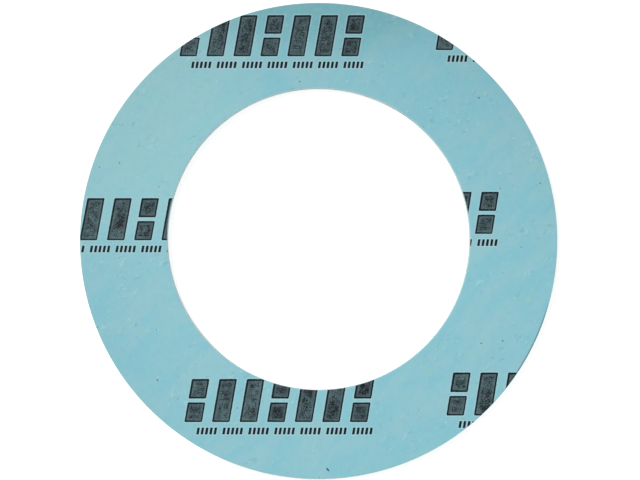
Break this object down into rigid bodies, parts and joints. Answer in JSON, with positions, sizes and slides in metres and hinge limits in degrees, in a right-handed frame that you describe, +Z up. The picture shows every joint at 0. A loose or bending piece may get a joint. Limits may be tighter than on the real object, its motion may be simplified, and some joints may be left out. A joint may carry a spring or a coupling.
{
  "type": "flange gasket",
  "caption": "Flat ring gasket cut from turquoise compressed fibre sheet, to seal between two round pipe flanges inside their bolts.",
  "frame": {"origin": "centre of the ring on its lower face, which rests on the ground", "axes": "+Z up through the ring, out of the printed upper face; +X to the right and +Y away as the printing is seen upright"},
  "size_m": [0.142, 0.142, 0.002],
  "materials": {
    "fibre_sheet": "matt calendered fibre sheet bound with rubber, turquoise, with dark printing on the upper face"
  },
  "bodies": {
    "root": {"ring_gasket": "fibre_sheet"}
  },
  "joints": []
}
